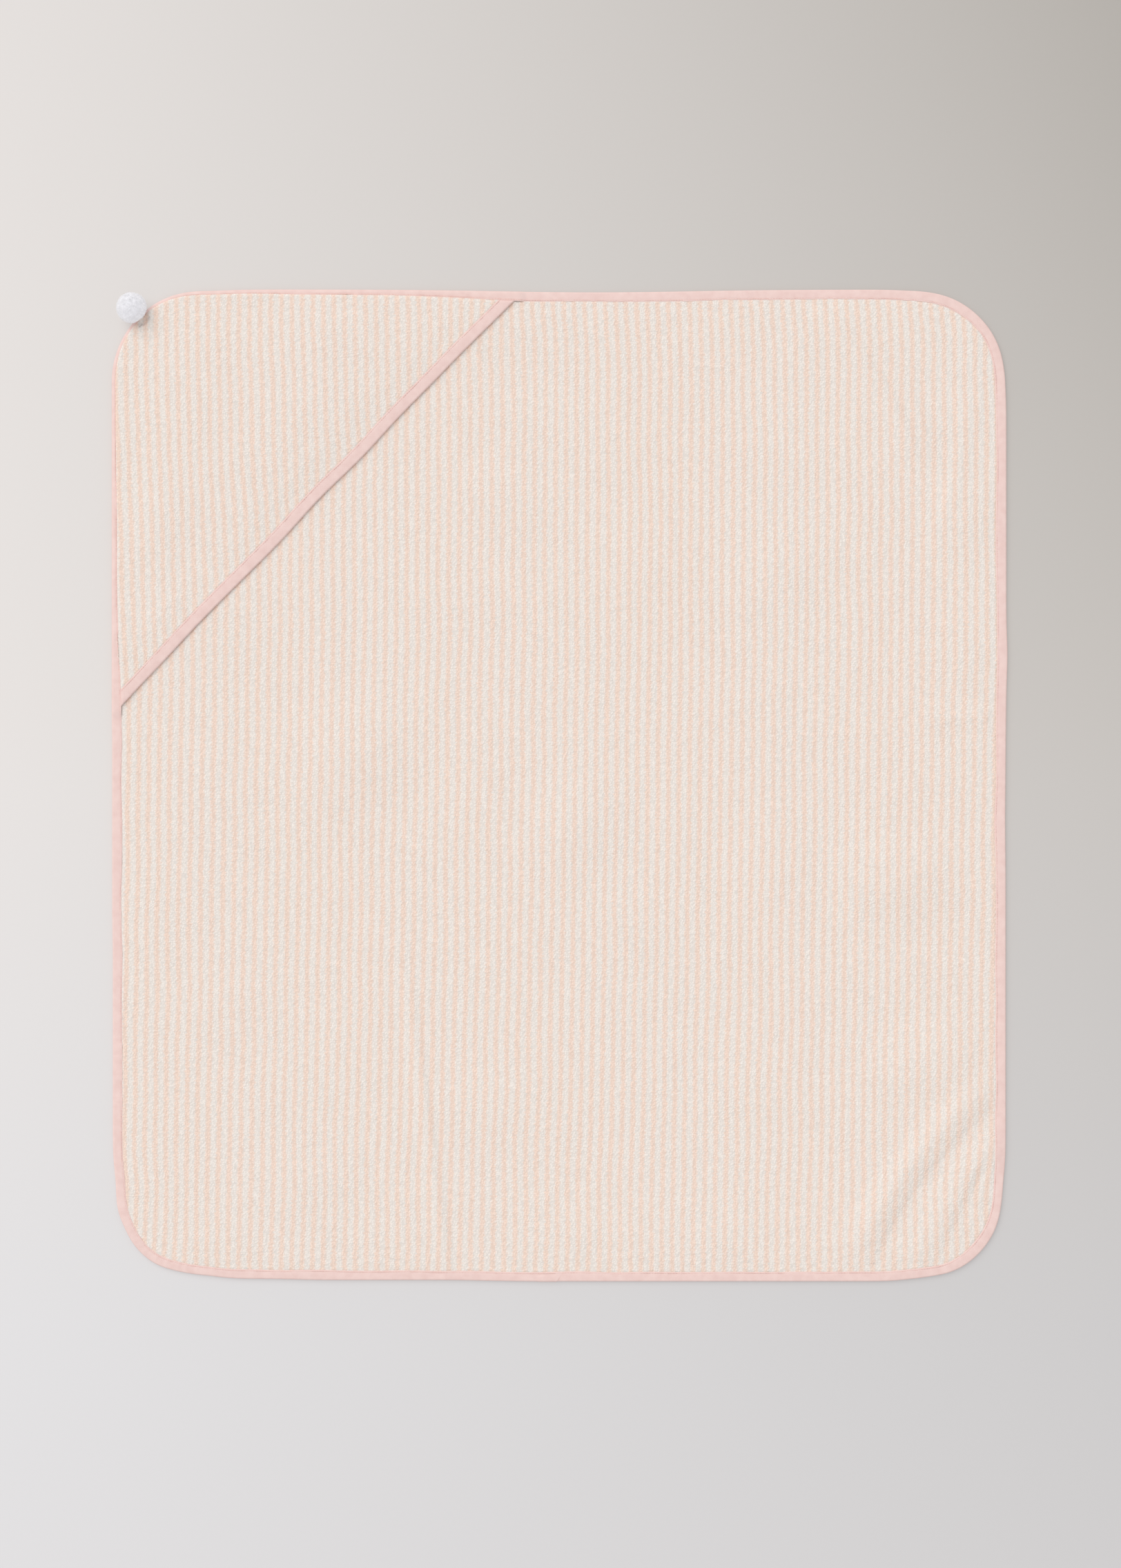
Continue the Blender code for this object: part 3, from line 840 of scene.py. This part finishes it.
def tape_profile(width, low, height, under_width):
    """(inset, z) at each station round a folded tape, as arrays of stations by corners: in over
    the top, where a groove holds the stitches, back round the fold and under the cloth. The
    inside is the same line, a tape's thickness in."""
    radius = height / 2
    room = room_of(width, radius)
    top = low + height
    inward = [(0.0, 0.42), (0.1, 0.16), (0.45, 0.02), (0.9, 0.06), (1.2, 0.16), (1.5, 0.06)]
    inward += [(2.0, 0.0), (2.9, -0.03)]
    outer = [(width - off * room, top - drop * np.minimum(1, room + 0.3)) for off, drop in inward]
    for turn in np.radians(np.linspace(90, 270, 9)):
        outer.append((radius + radius * np.cos(turn), low + radius + radius * np.sin(turn)))
    outer.append((under_width - 0.3, low + 0.0 * width))
    outer.append((under_width + 0.0 * width, low + 0.15 + 0.0 * width))
    inner = [(under_width + 0.0 * width, low + TAPE)]
    for turn in np.radians(np.linspace(270, 90, 7)):
        thin = radius - TAPE
        inner.append((radius + thin * np.cos(turn), low + radius + thin * np.sin(turn)))
    inner.append((width - 0.9 * room, top - TAPE))
    inner.append((width + 0.0 * width, top - TAPE - 0.1))
    inset = np.stack([np.broadcast_to(pair[0], width.shape) for pair in outer + inner], axis=-1)
    z = np.stack([np.broadcast_to(pair[1], width.shape) for pair in outer + inner], axis=-1)
    return inset, z


def lap_share(s):
    """1 where the tape's far end lies over its near end, and 0 before."""
    return smooth((s - EDGE_LENGTH + LAP + 5.0) / 5.0)


def edge_levels(s):
    """The tape's visible width, underside and height at arc length s: higher where it holds
    two cloths, and swollen over the lapped end."""
    core, outward = edge_path(s)
    outer = core + CORNER * outward
    width = tape_width_of(*outer.T)
    two = smooth((along_leg_of(*outer.T) + 3.0) / 7.0)
    lapped = lap_share(s)
    height = ONE_CLOTH + (TWO_CLOTHS - ONE_CLOTH) * two + 1.0 * lapped
    return core, outward, width, TAPE_LOW - 0.5 * lapped, height


def puckers_of(s, seed):
    """How the tape stands up at s along it: a ripple one stitch long, and slower waves."""
    return np.sin(2 * math.pi * s / STITCH) * 0.04 + 0.10 * waves(s, 0 * s, 5.0, 14.0, seed=seed)


def edge_tape(material):
    """The tape folded over the raw edge all round, as a profile carried along the outer edge.
    It puckers a little between stitches, and its two slanting ends lap at the join."""
    s = np.linspace(-LAP, EDGE_LENGTH + LAP, int((EDGE_LENGTH + 2 * LAP) / TAPE_STEP))
    core, outward, width, low, height = edge_levels(s)
    inset, z = tape_profile(width, low, height, UNDER_WIDTH)
    lapped = lap_share(s)[:, None]
    rolls = 0.12 * waves(s, 0 * s, 25.0, 70.0, seed=32, count=24)
    on_top = (z > (low + height / 2)[:, None]) * smooth((inset - 2.0) / 2.5)
    z = z + (puckers_of(s, seed=31) + rolls)[:, None] * on_top
    slant = 5.0 * (inset / UNDER_WIDTH - 0.4)
    near_end = np.maximum(smooth((s - EDGE_LENGTH + 30) / 20), smooth((30 - s) / 20))[:, None]
    moved_s = s[:, None] + slant * near_end
    core, outward = edge_path(moved_s)
    plan = core + outward * (CORNER - inset + 0.35 * lapped)[..., None]
    points, faces = skin(lay(np.concatenate([plan, z[..., None]], axis=-1)))
    flat = np.stack([moved_s, np.where(z > 2.0, inset, -inset)], axis=-1)
    obj = piece("edge_tape", points, faces, material, flat.reshape(-1, 2))
    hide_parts("edge_binding")
    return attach(obj, "towel")


def thread_tube(centre, side, radius):
    """Rows of points of a round thread: a circle of six carried along its centre line, in the
    plane of the sideways direction and Z."""
    turns = np.radians(np.arange(6) * 60.0)
    ring = centre[:, None, :] + 0.0 * turns[None, :, None]
    ring[..., :2] += radius * np.cos(turns)[None, :, None] * side[:, None, :]
    ring[..., 2] += radius * np.sin(turns)[None, :]
    return ring


def stitch_phase(stitches):
    """Seven points to a stitch, from hole to hole, and how high the thread stands at each: a
    low arch, 1 in the middle and 0 at the holes."""
    phase = np.linspace(0, stitches, stitches * 6 + 1)
    return phase / stitches, np.abs(np.sin(math.pi * phase)) ** 0.5


def thread_level(low, height, arch, above):
    """Height of a thread's middle, on top of a tape or under it: sunk into the tape at the
    holes, and arched away from it between them."""
    if above:
        return low + height - 0.28 + 0.30 * arch
    return low - 0.02 - 0.22 * arch


def edge_stitches(name, node_name, above, material):
    """The row of stitches round the edge tape: a thread that arches over it and dips into its
    holes. The bobbin thread is the same underneath."""
    start, end = -4.0, EDGE_LENGTH + 4.0
    shares, arch = stitch_phase(int((end - start) / STITCH))
    s = start + shares * (end - start)
    core, outward, width, low, height = edge_levels(s)
    inset = np.full(s.shape, UNDER_WIDTH - STITCH_MARGIN)
    if above:
        inset = width - STITCH_MARGIN * room_of(width, height / 2)
    z = thread_level(low, height, arch, above)
    centre = np.column_stack([core + outward * (CORNER - inset)[:, None], z])
    radius = NEEDLE_THREAD if above else BOBBIN_THREAD
    points, faces = skin(lay(thread_tube(centre, -outward, radius)))
    obj = piece(name, points, faces, material)
    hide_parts(node_name)
    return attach(obj, "towel")


def hood_tape(half, material):
    """One half of the tape over the hood's front edge, from under the edge tape to where the
    hood's halves meet."""
    stations = int(FRONT_RUN / 2 / TAPE_STEP)
    shares = np.linspace(0, 1, stations)
    ones = np.ones(stations)
    inset, z = tape_profile(
        HOOD_TAPE_WIDTH * ones, HOOD_TAPE_LOW * ones, ONE_CLOTH * ones, HOOD_TAPE_WIDTH
    )
    start, end = front_span(half, 4.5, inset)
    s = start + shares[:, None] * (end - start)
    free = smooth((inset - 1.8) / 2.5)
    z = z + puckers_of(s, seed=37) * free * (z > HOOD_TAPE_LOW + 1.4)
    plan = front_point(s, inset)
    points, faces = skin(lay_hood(np.concatenate([plan, z[..., None]], axis=-1))[:, ::-1])
    flat = np.stack([s, np.where(z > 5.1, inset, -inset)], axis=-1)[:, ::-1]
    obj = piece(f"hood_tape_{half}", points, faces, material, flat.reshape(-1, 2))
    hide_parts("hood_edge_binding")
    return bend_with_hood(obj, half)


def hood_stitches(half, name, node_name, above, material):
    """One half of a row of stitches along the hood's front edge."""
    f = np.array(HOOD_TAPE_WIDTH - STITCH_MARGIN)
    start, end = front_span(half, 8.0, f)
    shares, arch = stitch_phase(int(round((end - start) / STITCH)))
    s = start + shares * (end - start)
    level = thread_level(HOOD_TAPE_LOW, ONE_CLOTH, arch, above)
    centre = np.column_stack([front_point(s, f + 0 * s), level])
    side = np.broadcast_to(TO_TIP, (len(s), 2))
    radius = NEEDLE_THREAD if above else BOBBIN_THREAD
    points, faces = skin(lay_hood(thread_tube(centre, side, radius))[:, ::-1])
    obj = piece(f"{name}_{half}", points, faces, material)
    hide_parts(node_name)
    return bend_with_hood(obj, half)


def lumps_of(way):
    """Lumps over a sphere, about 2 mm across: waves through space along random directions."""
    rng = np.random.default_rng(43)
    total = np.zeros(len(way))
    for number in range(70):
        direction = rng.normal(size=3)
        direction /= np.linalg.norm(direction)
        length = rng.uniform(1.8, 4.0)
        total += np.cos(2 * math.pi * BALL / length * (way @ direction) + rng.uniform(0, 6.28))
    return total * math.sqrt(2 / 70)


def pompom_core():
    """Points and faces of the lumpy core round its own centre: a globe with two poles."""
    rows, columns = 61, 120
    down = np.radians(np.linspace(0, 180, rows))[1:-1, None]
    turn = np.radians(np.arange(columns) * 360.0 / columns)[None, :]
    core = np.stack([np.sin(down) * np.cos(turn), np.sin(down) * np.sin(turn),
                     np.cos(down) + 0 * turn], axis=-1).reshape(-1, 3)
    core = np.vstack([core, [[0, 0, 1.0], [0, 0, -1.0]]])
    core = core * (BALL - 0.55 + 0.13 * lumps_of(core))[:, None]
    index = np.arange((rows - 2) * columns).reshape(rows - 2, columns)
    table = np.hstack([index, index[:, :1]])
    top = np.full(columns, len(core) - 2)
    faces = grid_faces(table).tolist()
    faces += np.column_stack([table[0, 1:], top, table[0, :-1]]).tolist()
    faces += np.column_stack([table[-1, :-1], top + 1, table[-1, 1:]]).tolist()
    return core, faces


def pompom_fibres(first):
    """Points and faces of the tufts of cut yarn ends, spread evenly over the ball along a
    spiral, with their points numbered from first. A fibre is a three-sided spike whose rings
    shrink from root to tip."""
    rng = np.random.default_rng(41)
    number = np.arange(TUFTS) + 0.5
    height = 1 - 2 * number / TUFTS
    spin = number * math.pi * (3 - math.sqrt(5))
    flat_radius = np.sqrt(1 - height**2)
    tufts = np.stack([flat_radius * np.cos(spin), flat_radius * np.sin(spin), height], axis=-1)
    tufts = np.repeat(tufts + 0.05 * rng.normal(size=tufts.shape), FIBRES, axis=0)
    roots = tufts + 0.04 * rng.normal(size=tufts.shape)
    tips = tufts + 0.085 * rng.normal(size=tufts.shape)
    roots /= np.linalg.norm(roots, axis=1, keepdims=True)
    tips /= np.linalg.norm(tips, axis=1, keepdims=True)
    reach = BALL - 0.3 + 2.0 * FUZZ * rng.beta(2.0, 3.0, len(tips))
    side = np.cross(tips, rng.normal(size=tips.shape))
    side /= np.linalg.norm(side, axis=1, keepdims=True)
    other = np.cross(tips, side)
    rings = []
    for share, thick in ((0.0, 0.15), (0.6, 0.12), (1.0, 0.04)):
        way = roots * (1 - share) + tips * share
        radius = (BALL - 1.8) * (1 - share) + reach * share
        for third in np.radians([0, 120, 240]):
            off = side * np.cos(third) + other * np.sin(third)
            rings.append(way * radius[:, None] + thick * off)
    fibres = np.stack(rings, axis=1)
    base = first + 9 * np.arange(len(tips))
    corners = [(0, 1, 4, 3), (1, 2, 5, 4), (2, 0, 3, 5), (3, 4, 7, 6), (4, 5, 8, 7), (5, 3, 6, 8)]
    quads = np.concatenate([base[:, None] + np.array(face) for face in corners])
    caps = np.concatenate([base[:, None] + np.array(face) for face in ((2, 1, 0), (6, 7, 8))])
    return fibres.reshape(-1, 3), quads.tolist() + caps.tolist()


def pompom_yarn(material):
    """The ball: its core and its fibres. What would reach past the flat seat against the towel
    is moved out along the tie, and what would sink into the table is lifted."""
    low, high = [np.array(corner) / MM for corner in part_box("pompom")]
    centre = np.array([low[0] + BALL + 2.2, high[1] - BALL - 0.6, high[2] - BALL])
    axis = np.array(TWIST["axis"])
    core, core_faces = pompom_core()
    fibres, fibre_faces = pompom_fibres(len(core))
    points = np.vstack([core, fibres]) + centre
    along = (points - KNOT) @ axis
    off_axis = np.linalg.norm(points - KNOT - along[:, None] * axis, axis=1)
    past = SEAT + 0.05 + 2.0 * smooth((off_axis - 4.0) / 3.0) - along
    points = points + np.maximum(past, 0.0)[:, None] * axis
    points[:, 2] = np.maximum(points[:, 2], 0.12)
    obj = piece("pompom_yarn", points, core_faces + fibre_faces, material, crease=180)
    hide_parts("pompom")
    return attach(obj, "ball")


# The studio


def studio():
    """A wide sheet of pale paper, a broad soft light from the upper left and an even fill."""
    size = 20.0
    level = -0.0003
    signs = ((-1, -1), (1, -1), (1, 1), (-1, 1))
    corners = [(size * right, size * up, level) for right, up in signs]
    mesh = bpy.data.meshes.new("floor")
    mesh.from_pydata(corners, [], [(0, 1, 2, 3)])
    mesh.materials.append(paper_material())
    floor = bpy.data.objects.new("floor", mesh)
    bpy.context.scene.collection.objects.link(floor)

    key = bpy.data.lights.new("softbox", "SUN")
    key.energy = 1.35
    key.angle = math.radians(50)
    key.color = (1.0, 0.985, 0.97)
    lamp = bpy.data.objects.new("softbox", key)
    lamp.rotation_euler = (math.radians(-30), math.radians(-31), 0.0)
    bpy.context.scene.collection.objects.link(lamp)

    world = bpy.data.worlds.new("studio_fill")
    world.use_nodes = True
    world.node_tree.nodes["Background"].inputs["Color"].default_value = (0.97, 0.985, 1.0, 1.0)
    world.node_tree.nodes["Background"].inputs["Strength"].default_value = 0.72
    bpy.context.scene.world = world
    bpy.context.scene.view_settings.view_transform = "Standard"


def camera():
    """Straight above, with the towel a little off the middle of the view."""
    data = bpy.data.cameras.new("camera")
    data.lens = 85.0
    data.sensor_width = 36.0
    obj = bpy.data.objects.new("camera", data)
    obj.location = (0.0018, 0.0003, 3.103)
    bpy.context.scene.collection.objects.link(obj)
    bpy.context.scene.camera = obj


def main():
    camera()
    studio()
    terry, tape = terry_material(), tape_material()
    thread, yarn = thread_material(), yarn_material()

    body = towel_cloth(terry)
    edge = [
        edge_tape(tape),
        edge_stitches("edge_needle_stitches", "edge_needle_thread", True, thread),
        edge_stitches("edge_bobbin_stitches", "edge_bobbin_thread", False, thread),
    ]

    for half in ("side", "top"):
        cloth = hood_cloth(half, terry)
        trim = [
            hood_tape(half, tape),
            hood_stitches(half, "hood_needle_stitches", "hood_needle_thread", True, thread),
            hood_stitches(half, "hood_bobbin_stitches", "hood_bobbin_thread", False, thread),
        ]

    pompom_yarn(yarn)
    tie = frame["nodes"]["pompom_tie"]
    for material_slot in tie.material_slots:
        material_slot.material = thread


main()
